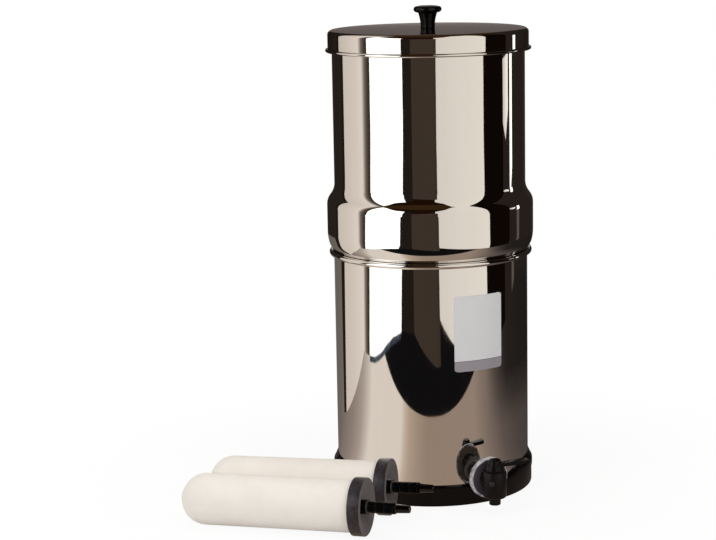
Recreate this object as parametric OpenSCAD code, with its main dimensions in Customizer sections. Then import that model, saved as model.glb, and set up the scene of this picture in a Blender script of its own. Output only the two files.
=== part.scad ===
// Countertop gravity water filter, in millimetres. Two drawn steel vessels stand one on the
// other: water poured into the upper one seeps through ceramic candles into the lower one and
// is drawn from a rotary barrel tap. The two candles lie on the table beside the vessels.
// +Z is up, the origin is on the table under the vessels' axis, and the tap points along -Y.

/* [Vessels] */
// Thickness of the drawn steel sheet
sheet = 1; // [0.6:0.1:1.4]
// Outside diameter of the lower vessel's wall
lower_d = 202.4; // [180:0.2:230]
// Height of the lower vessel, from its underside to the middle of its rolled rim
lower_h = 241; // [200:1:280]
// Radius of the lower vessel's bottom corner
lower_corner = 10; // [6:1:14]
// Diameter of the lower vessel's rolled rim
rim_bead = 5.7; // [4:0.1:7]
// How far the upper vessel's bulge stands out past the lower vessel's wall
bulge_over = 6.3; // [5.8:0.1:9]
// How far the upper vessel steps in above its bulge
step_in = 8; // [8:0.5:12]
// Radius of the round tuck under the bulge
tuck_r = 42; // [36:1:50]
// Height of the bulge's straight band
band_h = 25; // [15:1:45]
// Steepest angle of the shoulder's S-curve, from vertical
shoulder_angle = 38.5; // [20:0.5:38.5]
// Radius at the shoulder's lower edge
shoulder_r = 18; // [8:1:18]
// Radius at the shoulder's upper edge
neck_r = 18; // [6:1:18]
// Height of the narrow wall, from the shoulder to the middle of the top rim
upper_wall_h = 153.7; // [100:0.1:220]
// Diameter of the upper vessel's rolled rim
top_bead = 3.7; // [2.6:0.1:5]
// Depth of the upper vessel's foot below the lower rim
foot_depth = 26; // [20:1:40]
// Radius of the upper vessel's bottom corner
foot_corner = 8; // [5:1:10]
// Radial gap round the upper vessel's foot
foot_gap = 1.4; // [0.6:0.1:2.5]
// Gap between parts that lift off each other
lift_gap = 0.3; // [0.3:0.02:0.4]

/* [Candle holes] */
// Distance between the two candle holes
hole_spacing = 100; // [80:1:120]
// Radial clearance of a candle stem in its hole
stem_clearance = 0.5; // [0.3:0.1:1]

/* [Lid] */
// Radial gap between the top rim and the lid
lid_gap = 0.4; // [0.4:0.1:1]
// Height of the lid over its skirt
lid_h = 22.2; // [16:0.2:30]
// Radius of the lid's top edge
lid_edge = 4.5; // [3:0.5:7]
// Diameter of the rolled edge round the skirt
lid_bead = 3.5; // [2.6:0.1:4.5]
// Height of the knob
knob_h = 23.4; // [20:0.1:32]
// Diameter of the knob's flange
knob_d = 28.9; // [26.5:0.1:36]
// Diameter of the knob's stem at the lid
knob_stem_d = 14.8; // [12:0.1:17]
// Diameter of the knob's screw
screw_d = 5; // [4:0.5:6]
// Length of the screw's thread above the lid
screw_l = 13; // [8:1:16]

/* [Base ring] */
// Thickness of the ring round the lower vessel
ring_wall = 3.8; // [3.2:0.1:8]
// How far the ring's lip stands out past its foot
ring_lip = 0.7; // [0.3:0.1:1.5]
// Height of the ring
ring_h = 32; // [28:0.5:38]
// Height of the ring's sloping top edge
ring_slope_h = 8.5; // [5:0.5:11]
// Height of the ring under the tap, where its edge dips
ring_dip_z = 21.5; // [19:0.5:21.5]
// Half the width of the dip at its bottom
ring_dip_w = 62; // [40:1:66]
// Height of the ledge that carries the lower vessel
ring_ledge = 8; // [5:0.5:10]
// Width of the ring's flat underside
ring_foot_w = 20; // [16:1:26]

/* [Tap] */
// Height of the tap's inlet above the table
tap_z = 34.5; // [34.4:0.1:46]
// Outside diameter of the threaded shank
shank_d = 16; // [14:0.5:18]
// Diameter of the water way
bore_d = 8.5; // [6:0.5:9]
// Diameter of the gasket and of the clamping collar
collar_d = 25; // [22:0.2:25.2]
// Thickness of the rubber gaskets
gasket_t = 3; // [2:0.5:4]
// Length of the clamping collar
collar_l = 14; // [10:1:16]
// Distance from the wall to the back of the disc
disc_reach = 25.6; // [22:0.2:32]
// Diameter of the tap's disc
disc_d = 41.8; // [36:0.2:46]
// Thickness of the disc
disc_t = 3; // [2.5:0.1:4]
// Bevel on the disc's front edge
disc_bevel = 1.7; // [1:0.1:2]
// Outside diameter of the barrel
barrel_d = 25; // [22:0.2:28]
// Height of the barrel above the water way
barrel_up = 10.2; // [9:0.1:15]
// Depth of the barrel below the water way
barrel_down = 17; // [14:0.1:19]
// Diameter of the plug that turns in the barrel
plug_d = 17; // [15:0.2:18]
// Radial running fit of the plug
plug_fit = 0.05; // [0.03:0.01:0.08]
// Diameter of the spout
spout_d = 11.6; // [10:0.2:14]
// Length of the spout below the barrel
spout_l = 7.7; // [5:0.1:10]
// Height of the handle's hub
cap_h = 11.7; // [8:0.1:14]
// Length of the lever, from the barrel's axis
lever_l = 37.5; // [30:0.5:50]
// Width of the lever at its end
lever_w = 11; // [8:0.5:14]
// Thickness of the lever
lever_t = 3.6; // [2.5:0.1:5]
// Across-flats size of the nut inside the vessel
nut_af = 26; // [24:0.5:28]

/* [Candles] */
// Diameter of the ceramic shell
candle_d = 51.4; // [46:0.2:54]
// Length of the candle, from its dome to the face of its end cap
candle_l = 192; // [150:1:230]
// Wall thickness of the ceramic
candle_wall = 8; // [6:0.5:12]
// Diameter of the end cap
end_cap_d = 57.5; // [57:0.1:64]
// Thickness of the end cap
end_cap_t = 13; // [12:0.5:16]
// Depth of the dish in the end cap's face
dish_depth = 6.5; // [3:0.5:7]
// Diameter of the threaded stem
stem_d = 12; // [10:0.5:14]
// Length of the stem's thread, from the cap's face
stem_l = 29.5; // [22:0.5:34]
// Length of the narrow tip past the thread
tip_l = 14; // [8:0.5:18]
// Diameter of the narrow tip at its root
tip_d = 9; // [7.5:0.1:9.5]
// Gap between the back candle's cap and the base ring
back_gap = 0.4; // [0.4:0.1:30]
// Direction of the back candle's stem, in degrees
back_turn = -38.8; // [-60:0.1:-25]
// How far the back candle's cap stops short of the vessels' axis
back_short = 11.7; // [-10:0.1:60]
// Gap between the two candles' caps
candle_gap = 12; // [8:0.5:40]
// Direction of the front candle's stem, in degrees
front_turn = -40.5; // [-42:0.1:-38]
// How far the front candle's cap stops short of the vessels' axis
front_short = 13.2; // [-10:0.1:60]

/* [Hidden] */
$fn = 96;

steel = [0.72, 0.70, 0.68];
black = [0.07, 0.07, 0.07];
rubber = [0.16, 0.16, 0.17];
cap_grey = [0.26, 0.25, 0.27];
ceramic = [0.94, 0.91, 0.86];
carbon = [0.12, 0.12, 0.12];

snug = 0.05;                 // gap between pieces that stay fixed together
cut = 1;                     // how far a cutting tool runs past what it cuts

// Lower vessel
lower_r = lower_d / 2;
lower_z = ring_ledge;
rim_z = lower_z + lower_h;
rim_r = lower_r - sheet + rim_bead / 2;       // middle of the rolled rim's section

// Upper vessel
bulge_r = lower_r + bulge_over;
upper_r = bulge_r - step_in;
foot_r = lower_r - sheet - foot_gap;
tuck_x = bulge_r - tuck_r;
// the tuck rests on the lower rim, so its height follows from the two circles' distance
tuck_z = rim_z + sqrt(pow(tuck_r + rim_bead / 2 + lift_gap, 2) - pow(rim_r - tuck_x, 2));
foot_fillet = 4;
foot_fillet_x = foot_r + foot_fillet;
foot_fillet_z = tuck_z - sqrt(pow(tuck_r + foot_fillet, 2) - pow(foot_fillet_x - tuck_x, 2));
tuck_angle = atan2(foot_fillet_z - tuck_z, foot_fillet_x - tuck_x);
floor_z = rim_z - foot_depth;
shoulder_z = tuck_z + band_h;
shoulder_run = (step_in - (shoulder_r + neck_r) * (1 - cos(shoulder_angle))) / tan(shoulder_angle);
neck_z = shoulder_z + (shoulder_r + neck_r) * sin(shoulder_angle) + shoulder_run;
top_rim_z = neck_z + upper_wall_h;
top_rim_r = upper_r - sheet + top_bead / 2;
hole_d = stem_d + 2 * stem_clearance;

// Lid
lid_in_r = top_rim_r + top_bead / 2 + lid_gap;
lid_r = lid_in_r + sheet;
// the top rim meets either the lid's round edge or its flat, whichever holds the lid higher
edge_past = lid_edge + top_rim_r - lid_r;
edge_room = lid_edge - sheet - top_bead / 2 - lift_gap;
on_edge = edge_past > 0 ? lid_edge - sqrt(max(0, pow(edge_room, 2) - pow(edge_past, 2))) : 0;
lid_z = top_rim_z + max(top_bead / 2 + lift_gap + sheet, on_edge);   // top face of the lid
lid_bead_z = lid_z - lid_h + lid_bead / 2;
screw_head_d = 10;
screw_head_h = 2.6;
washer_t = 1.2;
washer_d = 15;

// Base ring
ring_in_r = lower_r + snug;
ring_r = ring_in_r + ring_wall;
ring_lip_r = ring_r + ring_lip;
ring_slope_z = ring_h - ring_slope_h;
ring_round = 1.5;

// Tap, along its own axis from the vessels' axis outwards
wall_out = lower_r;
wall_in = lower_r - sheet;
disc_at = wall_out + disc_reach;
disc_front = disc_at + disc_t;
barrel_sunk = 0.4;                            // how deep the barrel runs into the disc
barrel_at = disc_front + barrel_d / 2 - barrel_sunk;
barrel_r = barrel_d / 2;
barrel_top = tap_z + barrel_up;
barrel_bottom = tap_z - barrel_down;
plug_bore_r = plug_d / 2 + plug_fit;
plug_floor = tap_z - bore_d / 2 - 6.5;        // bottom of the bore that holds the plug
plug_bottom = plug_floor + lift_gap;
outlet_d = bore_d - 0.5;
ring_section = 1.8;                           // thickness of the rubber rings on the plug
collar_at = wall_out + gasket_t;
shank_in = wall_in - gasket_t - 12;           // inner end of the shank
nut_t = 8;
drive_w = 8;                                  // square end of the plug
drive_h = 5.5;
hub_d = barrel_d - 6;
hub_z = barrel_top + lift_gap;

// Candles, along their own axis: 0 is the face of the end cap, the stem points to +Z
candle_r = candle_d / 2;
end_cap_r = end_cap_d / 2;
cap_round = 1.2;
seat_depth = end_cap_t - dish_depth - 3.5;    // how deep the ceramic sits in the cap
shell_end = seat_depth - end_cap_t;
dish_r = end_cap_r - 4.5;
boss_d = stem_d + 3;
stem_bore = 5;
seal_t = 1.5;
// a candle rests on its cap's rim and on its dome, so it lies a little head down
cap_touch = end_cap_t - cap_round;
candle_tilt = asin((end_cap_r - candle_r) / (candle_l - candle_r - cap_touch));
candle_rise = candle_r + (candle_l - candle_r) * sin(candle_tilt);
// distance of each candle's axis from the vessels' axis
back_side = ring_lip_r + end_cap_r + back_gap;
front_side = back_side + end_cap_d + candle_gap;

// Points along an arc, from angle a0 to a1
function arc(c, r, a0, a1, n = 10) =
    [for (i = [0:n]) let (a = a0 + (a1 - a0) * i / n) [c[0] + r * cos(a), c[1] + r * sin(a)]];

// A rolled edge on top of a wall: from the wall's outer face round to its inner face
function rolled_up(c, r) = arc(c, r, 180 + acos((r - sheet) / r), 540, 20);
// The same below a wall, from its outer face round to its inner face
function rolled_down(c, r) = arc(c, r, 180 - acos((r - sheet) / r), -180, 20);

function reversed(p) = [for (i = [len(p) - 1:-1:0]) p[i]];

// Ring with a round section, as a solid of revolution about Z
module ring_of(r, section) {
    rotate_extrude() translate([r, 0]) circle(d = section, $fn = 24);
}

// Places children so that +Z points out of the tap and +Y is up
module on_tap_axis() {
    translate([0, 0, tap_z]) rotate([90, 0, 0]) children();
}

// Places children on the vertical axis of the tap's barrel
module on_barrel_axis() {
    translate([0, -barrel_at, 0]) children();
}

// ---- Vessels ----------------------------------------------------------------------------

module base_ring() {
    dip_run = 9;                      // length of each sloping end of the dip
    dip_depth = ring_h - ring_dip_z + cut;
    swell = 5;                        // height of the lip's lower edge below the slope
    swell_run = 4;                    // height over which the wall swells to the lip
    lip_round = 3;
    ease = 0.4;                       // small break of the inner top edge
    color(black) difference() {
        rotate_extrude() polygon(concat(
            [[ring_r - ring_foot_w, 0], [ring_r - ring_round, 0]],
            arc([ring_r - ring_round, ring_round], ring_round, -90, 0, 5),
            [[ring_r, ring_slope_z - swell - swell_run], [ring_lip_r, ring_slope_z - swell]],
            arc([ring_lip_r - lip_round, ring_slope_z], lip_round, 0, 50, 5),
            [[ring_in_r + ease, ring_h], [ring_in_r, ring_h - ease], [ring_in_r, ring_ledge],
             [ring_r - ring_foot_w, ring_ledge]]
        ));
        // the dip under the tap, with sloping ends
        translate([0, -ring_r / 2, ring_dip_z]) rotate([90, 0, 0])
            linear_extrude(ring_r) polygon([
                [-ring_dip_w, 0], [ring_dip_w, 0],
                [ring_dip_w + dip_run, dip_depth], [-ring_dip_w - dip_run, dip_depth]
            ]);
    }
}

module lower_vessel() {
    corner = [lower_r - lower_corner, lower_z + lower_corner];
    color(steel) difference() {
        rotate_extrude() polygon(concat(
            [[0, lower_z]],
            arc(corner, lower_corner, -90, 0),
            rolled_up([rim_r, rim_z], rim_bead / 2),
            reversed(arc(corner, lower_corner - sheet, -90, 0)),
            [[0, lower_z + sheet]]
        ));
        on_tap_axis() translate([0, 0, wall_in - 5]) cylinder(d = shank_d + 4 * snug, h = sheet + 10);
    }
}

// Outline of the upper vessel from its floor to the top rim, moved in by t
function upper_outline(t) = concat(
    [[0, floor_z + t]],
    arc([foot_r - foot_corner, floor_z + foot_corner], foot_corner - t, -90, 0),
    arc([foot_fillet_x, foot_fillet_z], foot_fillet + t, 180, 180 + tuck_angle, 6),
    arc([tuck_x, tuck_z], tuck_r - t, tuck_angle, 0, 16),
    arc([bulge_r - shoulder_r, shoulder_z], shoulder_r - t, 0, shoulder_angle, 8),
    arc([upper_r + neck_r, neck_z], neck_r + t, 180 + shoulder_angle, 180, 8)
);

module upper_vessel() {
    color(steel) difference() {
        rotate_extrude() polygon(concat(
            upper_outline(0),
            rolled_up([top_rim_r, top_rim_z], top_bead / 2),
            reversed(upper_outline(sheet))
        ));
        for (side = [-1, 1])
            translate([side * hole_spacing / 2, 0, floor_z - cut])
                cylinder(d = hole_d, h = sheet + 2 * cut);
    }
}

// ---- Lid --------------------------------------------------------------------------------

module lid() {
    edge = [lid_r - lid_edge, lid_z - lid_edge];
    color(steel) difference() {
        rotate_extrude() polygon(concat(
            [[0, lid_z]],
            arc(edge, lid_edge, 90, 0),
            rolled_down([lid_in_r + lid_bead / 2, lid_bead_z], lid_bead / 2),
            arc(edge, lid_edge - sheet, 0, 90),
            [[0, lid_z - sheet]]
        ));
        translate([0, 0, lid_z - sheet - cut]) cylinder(d = screw_d + 4 * snug, h = sheet + 2 * cut);
    }
}

module lid_knob() {
    stem_r = knob_stem_d / 2;
    rim = 3.1;                        // radius of the flange's round edge
    under = knob_h - 0.7 - 2 * rim;   // height of the flange's underside
    waist = 2.2;                      // height at which the stem starts to widen
    fillet = 2;                       // radius under the flange
    top_x = knob_d / 2 - rim - fillet;
    rise = under - fillet - waist;
    // radius of the stem's long hollow curve, which ends where the fillet starts
    neck = (pow(rise, 2) + pow(top_x - stem_r, 2)) / 2 / (top_x - stem_r);
    sweep = asin(rise / neck);
    color(black) translate([0, 0, lid_z]) difference() {
        rotate_extrude() polygon(concat(
            [[0, 0], [stem_r, 0]],
            arc([stem_r + neck, waist], neck, 180, 180 - sweep, 8),
            arc([top_x + fillet, under - fillet], fillet, 180, 90, 5),
            arc([knob_d / 2 - rim, under + rim], rim, -90, 75, 12),
            [[0, knob_h]]
        ));
        translate([0, 0, -cut]) cylinder(d = screw_d + 2 * snug, h = screw_l + 1.5 + cut);
    }
}

module knob_washer() {
    color(rubber) translate([0, 0, lid_z - sheet - washer_t]) difference() {
        cylinder(d = washer_d, h = washer_t);
        translate([0, 0, -cut]) cylinder(d = screw_d + 4 * snug, h = washer_t + 2 * cut);
    }
}

module knob_screw() {
    head_z = lid_z - sheet - washer_t;
    slot_w = 1.2;
    color(steel) difference() {
        union() {
            translate([0, 0, head_z - screw_head_h]) cylinder(d = screw_head_d, h = screw_head_h);
            translate([0, 0, head_z - 0.01]) cylinder(d = screw_d, h = screw_l + washer_t + sheet);
        }
        translate([-screw_head_d, -slot_w / 2, head_z - screw_head_h - cut])
            cube([2 * screw_head_d, slot_w, screw_head_h / 2 + cut]);
    }
}

// ---- Tap --------------------------------------------------------------------------------

module tap_body() {
    boss_d = shank_d + 5;
    color(black) difference() {
        union() {
            // threaded shank through the wall, and the boss behind the disc
            on_tap_axis() translate([0, 0, shank_in]) cylinder(d = shank_d, h = disc_at - shank_in);
            on_tap_axis() translate([0, 0, collar_at + collar_l + snug])
                cylinder(d = boss_d, h = disc_at - collar_at - collar_l - snug);
            on_tap_axis() translate([0, 0, disc_at]) rotate_extrude() polygon([
                [0, 0], [disc_d / 2, 0], [disc_d / 2, disc_t - disc_bevel],
                [disc_d / 2 - disc_bevel, disc_t], [0, disc_t]
            ]);
            on_barrel_axis() translate([0, 0, barrel_bottom])
                cylinder(d = barrel_d, h = barrel_top - barrel_bottom);
            on_tap_axis() translate([0, 0, disc_at]) cylinder(d = boss_d - 2, h = barrel_at - disc_at);
            on_barrel_axis() translate([0, 0, barrel_bottom - spout_l])
                cylinder(d = spout_d, h = spout_l + cut);
        }
        on_tap_axis() translate([0, 0, shank_in - cut])
            cylinder(d = bore_d, h = barrel_at - shank_in + cut);
        on_barrel_axis() translate([0, 0, plug_floor])
            cylinder(r = plug_bore_r, h = barrel_top - plug_floor + cut);
        on_barrel_axis() translate([0, 0, barrel_bottom - spout_l - cut])
            cylinder(d = outlet_d, h = plug_floor - barrel_bottom + spout_l + 2 * cut);
    }
}

module tap_outer_gasket() {
    // its back is hollowed to the round wall
    color(rubber) difference() {
        on_tap_axis() translate([0, 0, wall_out - 3]) cylinder(d = collar_d, h = gasket_t + 3);
        translate([0, 0, tap_z - collar_d]) cylinder(r = wall_out + snug, h = 2 * collar_d, $fn = 480);
        on_tap_axis() translate([0, 0, wall_out - 5]) cylinder(d = shank_d + 2 * snug, h = gasket_t + 10);
    }
}

module tap_collar() {
    flutes = 12;
    flute_d = 3;
    color(black) difference() {
        on_tap_axis() translate([0, 0, collar_at]) rotate_extrude() polygon([
            [0, 0], [collar_d / 2 - 1, 0], [collar_d / 2, 1],
            [collar_d / 2, collar_l - 1], [collar_d / 2 - 1, collar_l], [0, collar_l]
        ]);
        on_tap_axis() translate([0, 0, collar_at - cut])
            cylinder(d = shank_d + 2 * snug, h = collar_l + 2 * cut);
        // finger flutes round the collar
        for (i = [0:flutes - 1])
            on_tap_axis() rotate([0, 0, i * 360 / flutes])
                translate([collar_d / 2 + flute_d / 4, 0, collar_at + 3])
                    cylinder(d = flute_d, h = collar_l);
    }
}

module tap_inner_gasket() {
    // its outer face is crowned to the inside of the wall
    color(rubber) difference() {
        intersection() {
            on_tap_axis() translate([0, 0, wall_in - gasket_t]) cylinder(d = collar_d, h = gasket_t);
            translate([0, 0, tap_z - collar_d]) cylinder(r = wall_in - snug, h = 2 * collar_d, $fn = 480);
        }
        on_tap_axis() translate([0, 0, wall_in - gasket_t - cut])
            cylinder(d = shank_d + 2 * snug, h = gasket_t + 2 * cut);
    }
}

module tap_nut() {
    color(black) on_tap_axis() translate([0, 0, wall_in - gasket_t - nut_t]) difference() {
        cylinder(r = nut_af / 2 / cos(30), h = nut_t, $fn = 6);
        translate([0, 0, -cut]) cylinder(d = shank_d + 2 * snug, h = nut_t + 2 * cut);
    }
}

module tap_plug() {
    groove_r = plug_d / 2 + plug_fit / 2 - ring_section - snug;
    color(rubber) on_barrel_axis() difference() {
        union() {
            translate([0, 0, plug_bottom]) cylinder(d = plug_d, h = barrel_top - plug_bottom);
            translate([-drive_w / 2, -drive_w / 2, barrel_top - cut]) cube([drive_w, drive_w, drive_h + cut]);
        }
        // side port, turned away from the inlet while the tap is shut
        translate([0, 0, tap_z]) rotate([0, -90, 0]) cylinder(d = bore_d, h = plug_d);
        translate([0, 0, plug_bottom - cut]) cylinder(d = outlet_d, h = tap_z - plug_bottom + cut);
        // grooves for the two rubber rings
        for (z = plug_ring_heights()) translate([0, 0, z]) difference() {
            cylinder(d = plug_d + 2, h = ring_section + 0.2, center = true);
            cylinder(r = groove_r, h = ring_section + 1, center = true);
        }
    }
}

function plug_ring_heights() = [tap_z - bore_d / 2 - 3, tap_z + bore_d / 2 + 2.4];

module plug_rings() {
    color(rubber) on_barrel_axis() for (z = plug_ring_heights())
        translate([0, 0, z]) ring_of(plug_d / 2 - ring_section / 2 + plug_fit / 2, ring_section);
}

module tap_handle() {
    skirt = 2.5;                     // height of the hub's straight side
    top_r = 4.6;                     // radius of the hub's flat top
    round = 1.6;                     // radius of its top edge
    root_w = lever_w / 2;
    lever_z = hub_z + 3.7;
    color(black) on_barrel_axis() difference() {
        union() {
            translate([0, 0, hub_z]) rotate_extrude() polygon(concat(
                [[0, 0], [hub_d / 2, 0], [hub_d / 2, skirt]],
                arc([top_r, cap_h - round], round, 30, 90, 6),
                [[0, cap_h]]
            ));
            // the lever widens to a square end with round corners
            translate([0, 0, lever_z]) linear_extrude(lever_t) polygon(concat(
                [[0, -root_w / 2]],
                arc([lever_l - 1.5, 1.5 - lever_w / 2], 1.5, -90, 0, 5),
                arc([lever_l - 1.5, lever_w / 2 - 1.5], 1.5, 0, 90, 5),
                [[0, root_w / 2]]
            ));
        }
        // square socket that presses on to the plug
        translate([-drive_w / 2 - snug, -drive_w / 2 - snug, hub_z - cut])
            cube([drive_w + 2 * snug, drive_w + 2 * snug, drive_h - lift_gap + snug + cut]);
    }
}

// ---- Candles ----------------------------------------------------------------------------

// Lays a candle on the table beside the vessels, its stem in the direction of turn
module laid(turn, side, short) {
    rotate([0, 0, turn]) translate([-short, -side, candle_rise]) rotate([0, 90 - candle_tilt, 0])
        children();
}

// Outline of the ceramic from its dome to its open end, moved in by t
function shell_outline(t) = concat(
    arc([0, candle_r - candle_l], candle_r - t, -90, 0, 16),
    [[candle_r - t, shell_end]]
);

module candle_shell() {
    color(ceramic) rotate_extrude()
        polygon(concat(shell_outline(0), reversed(shell_outline(candle_wall))));
}

module candle_carbon() {
    color(carbon) rotate_extrude()
        polygon(concat(shell_outline(candle_wall + snug), [[0, shell_end]]));
}

module candle_cap() {
    root = boss_d / 2 + 2.5;
    color(cap_grey) difference() {
        rotate_extrude() polygon(concat(
            [[0, -end_cap_t]],
            arc([end_cap_r - cap_round, cap_round - end_cap_t], cap_round, -90, 0, 6),
            arc([end_cap_r - cap_round, -cap_round], cap_round, 0, 90, 6),
            [[dish_r, 0], [root, -dish_depth], [0, -dish_depth]]
        ));
        translate([0, 0, -end_cap_t - cut]) cylinder(r = candle_r + snug, h = seat_depth + cut + snug);
        translate([0, 0, -end_cap_t - cut]) cylinder(d = stem_d + 2 * snug, h = end_cap_t + 2 * cut);
    }
}

module candle_stem() {
    // the collar stands in the dish, and the threaded stem ends in a narrow tapered tip
    inner_end = shell_end + 2 * snug;
    seat = snug - dish_depth;
    break_edge = 0.5;
    chamfer = 0.8;
    tip_end = stem_l + tip_l;
    tip_end_r = tip_d / 2 - 0.7;
    tip_chamfer = 0.6;
    tip_bore_r = stem_bore / 2 - 0.7;
    color(black) rotate_extrude() polygon([
        [stem_bore / 2, inner_end], [stem_d / 2, inner_end],
        [stem_d / 2, seat], [boss_d / 2, seat],
        [boss_d / 2, -break_edge], [boss_d / 2 - break_edge, 0], [stem_d / 2, 0],
        [stem_d / 2, stem_l - chamfer], [stem_d / 2 - chamfer, stem_l],
        [tip_d / 2, stem_l], [tip_end_r, tip_end - chamfer],
        [tip_end_r - tip_chamfer, tip_end], [tip_bore_r, tip_end],
        [tip_bore_r, stem_l], [stem_bore / 2, stem_l - 2]
    ]);
}

module candle_washer() {
    // it lies on the collar and seals against the upper vessel's floor
    color(rubber) translate([0, 0, snug]) difference() {
        cylinder(d = boss_d, h = seal_t);
        translate([0, 0, -cut]) cylinder(d = stem_d + 2 * snug, h = seal_t + 2 * cut);
    }
}

module front_candle_shell() { laid(front_turn, front_side, front_short) candle_shell(); }
module front_candle_carbon() { laid(front_turn, front_side, front_short) candle_carbon(); }
module front_candle_cap() { laid(front_turn, front_side, front_short) candle_cap(); }
module front_candle_stem() { laid(front_turn, front_side, front_short) candle_stem(); }
module front_candle_washer() { laid(front_turn, front_side, front_short) candle_washer(); }
module back_candle_shell() { laid(back_turn, back_side, back_short) candle_shell(); }
module back_candle_carbon() { laid(back_turn, back_side, back_short) candle_carbon(); }
module back_candle_cap() { laid(back_turn, back_side, back_short) candle_cap(); }
module back_candle_stem() { laid(back_turn, back_side, back_short) candle_stem(); }
module back_candle_washer() { laid(back_turn, back_side, back_short) candle_washer(); }

base_ring();
lower_vessel();
upper_vessel();
lid();
lid_knob();
knob_screw();
knob_washer();
tap_body();
tap_outer_gasket();
tap_collar();
tap_inner_gasket();
tap_nut();
tap_plug();
plug_rings();
tap_handle();
front_candle_shell();
front_candle_carbon();
front_candle_cap();
front_candle_stem();
front_candle_washer();
back_candle_shell();
back_candle_carbon();
back_candle_cap();
back_candle_stem();
back_candle_washer();
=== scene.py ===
import bmesh
import bpy
import math
from mathutils import Matrix, Vector


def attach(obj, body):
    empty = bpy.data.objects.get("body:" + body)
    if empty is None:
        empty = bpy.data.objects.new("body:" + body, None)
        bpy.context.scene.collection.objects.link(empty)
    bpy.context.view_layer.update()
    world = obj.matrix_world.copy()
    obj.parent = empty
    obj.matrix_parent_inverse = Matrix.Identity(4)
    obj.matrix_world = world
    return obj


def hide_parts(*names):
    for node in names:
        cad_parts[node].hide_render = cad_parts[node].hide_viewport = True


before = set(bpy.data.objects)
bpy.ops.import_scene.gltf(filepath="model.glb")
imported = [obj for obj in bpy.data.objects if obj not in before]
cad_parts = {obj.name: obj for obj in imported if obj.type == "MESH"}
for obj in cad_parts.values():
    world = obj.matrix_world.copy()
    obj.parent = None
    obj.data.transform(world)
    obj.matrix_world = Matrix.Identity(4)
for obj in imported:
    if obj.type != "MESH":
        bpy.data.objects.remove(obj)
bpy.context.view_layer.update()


# ---- Lower vessel --------------------
# The lower vessel is drawn from one sheet of stainless steel and polished to a mirror. Its top
# edge is rolled outwards into a bead, and the tap's shank goes through a hole low in its wall.

mm = 0.001                      # every size below is in millimetres
sheet = 1.0                     # thickness of the drawn steel
lift_gap = 0.3                  # between pieces that lift off each other
lower_r = 101.2                 # outside of the lower vessel's wall
lower_z = 8.0                   # its underside
lower_round = 10                # radius of its bottom corner
rim_z = 249.0                   # middle of its rolled rim
rim_bead = 2.85                 # radius of the rolled rim's section
rim_r = lower_r - sheet + rim_bead
tap_z = 34.5                    # middle of the tap's shank
shank_hole_r = 8.1


def arc(c, r, a0, a1, n=28):
    """Points on an arc of radius r about c, from the angle a0 to a1."""
    return [(c[0] + r * math.cos(math.radians(a0 + (a1 - a0) * i / n)),
             c[1] + r * math.sin(math.radians(a0 + (a1 - a0) * i / n))) for i in range(n + 1)]


def curl(bead):
    """The angle at which a sheet's edge turns off to roll round a bead of this radius."""
    return math.degrees(math.acos((bead - sheet) / bead))


def meshed(bm, name):
    """The bmesh as a mesh; the bmesh itself goes."""
    mesh = bpy.data.meshes.new(name)
    bm.to_mesh(mesh)
    bm.free()
    return mesh


def turned(name, outline, steps=288):
    """A closed outline of (radius, height) points, turned about the upright axis."""
    bm = bmesh.new()
    rings = []
    for r, z in outline:
        if r < 1e-6:
            rings.append([bm.verts.new((0, 0, z * mm))] * steps)
            continue
        rings.append([bm.verts.new((r * mm * math.cos(2 * math.pi * k / steps),
                                    r * mm * math.sin(2 * math.pi * k / steps), z * mm))
                      for k in range(steps)])
    for a, b in zip(rings, rings[1:] + rings[:1]):
        for k in range(steps):
            corners = list(dict.fromkeys((a[k], a[(k + 1) % steps], b[(k + 1) % steps], b[k])))
            if len(corners) > 2:
                bm.faces.new(corners)
    bmesh.ops.recalc_face_normals(bm, faces=bm.faces)
    return meshed(bm, name)


def softened(mesh, angle=32):
    """Smooth shading, with the edges sharper than the angle left crisp."""
    bm = bmesh.new()
    bm.from_mesh(mesh)
    for f in bm.faces:
        f.smooth = True
    for e in bm.edges:
        e.smooth = len(e.link_faces) == 2 and e.calc_face_angle(0) < math.radians(angle)
    bm.to_mesh(mesh)
    bm.free()
    return mesh


def placed(name, data):
    """A new object in the scene that holds the data."""
    obj = bpy.data.objects.new(name, data)
    bpy.context.scene.collection.objects.link(obj)
    return obj


def piece(name, mesh, material, body, *nodes):
    """A finished piece that rides on a body and stands for the CAD nodes that it replaces."""
    obj = placed(name, mesh)
    mesh.materials.clear()
    mesh.materials.append(material)
    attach(obj, body)
    if nodes:
        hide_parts(*nodes)
    return obj


def baked(obj):
    """The object's mesh with its modifiers applied; the object itself goes."""
    graph = bpy.context.evaluated_depsgraph_get()
    graph.update()
    mesh = bpy.data.meshes.new_from_object(obj.evaluated_get(graph))
    bpy.data.objects.remove(obj)
    return mesh


def worked(mesh, tools, operation="DIFFERENCE"):
    """The mesh with each tool mesh cut from it, or fused to it."""
    obj = placed("blank", mesh)
    held = [placed("tool", tool) for tool in tools]
    for tool in held:
        step = obj.modifiers.new("tool", "BOOLEAN")
        step.operation, step.solver, step.object = operation, "EXACT", tool
    mesh = baked(obj)
    for tool in held:
        bpy.data.objects.remove(tool)
    return mesh


def drilled(mesh, *drills):
    """The mesh less each round drill, given as (start, end, radius)."""
    tools = []
    for a, b, r in drills:
        a, b = Vector(a) * mm, Vector(b) * mm
        bm = bmesh.new()
        turn = (b - a).to_track_quat("Z", "Y").to_matrix().to_4x4()
        bmesh.ops.create_cone(bm, cap_ends=True, segments=64, radius1=r * mm, radius2=r * mm,
                              depth=(b - a).length, matrix=Matrix.Translation((a + b) / 2) @ turn)
        tools.append(meshed(bm, "drill"))
    return worked(mesh, tools)


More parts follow.
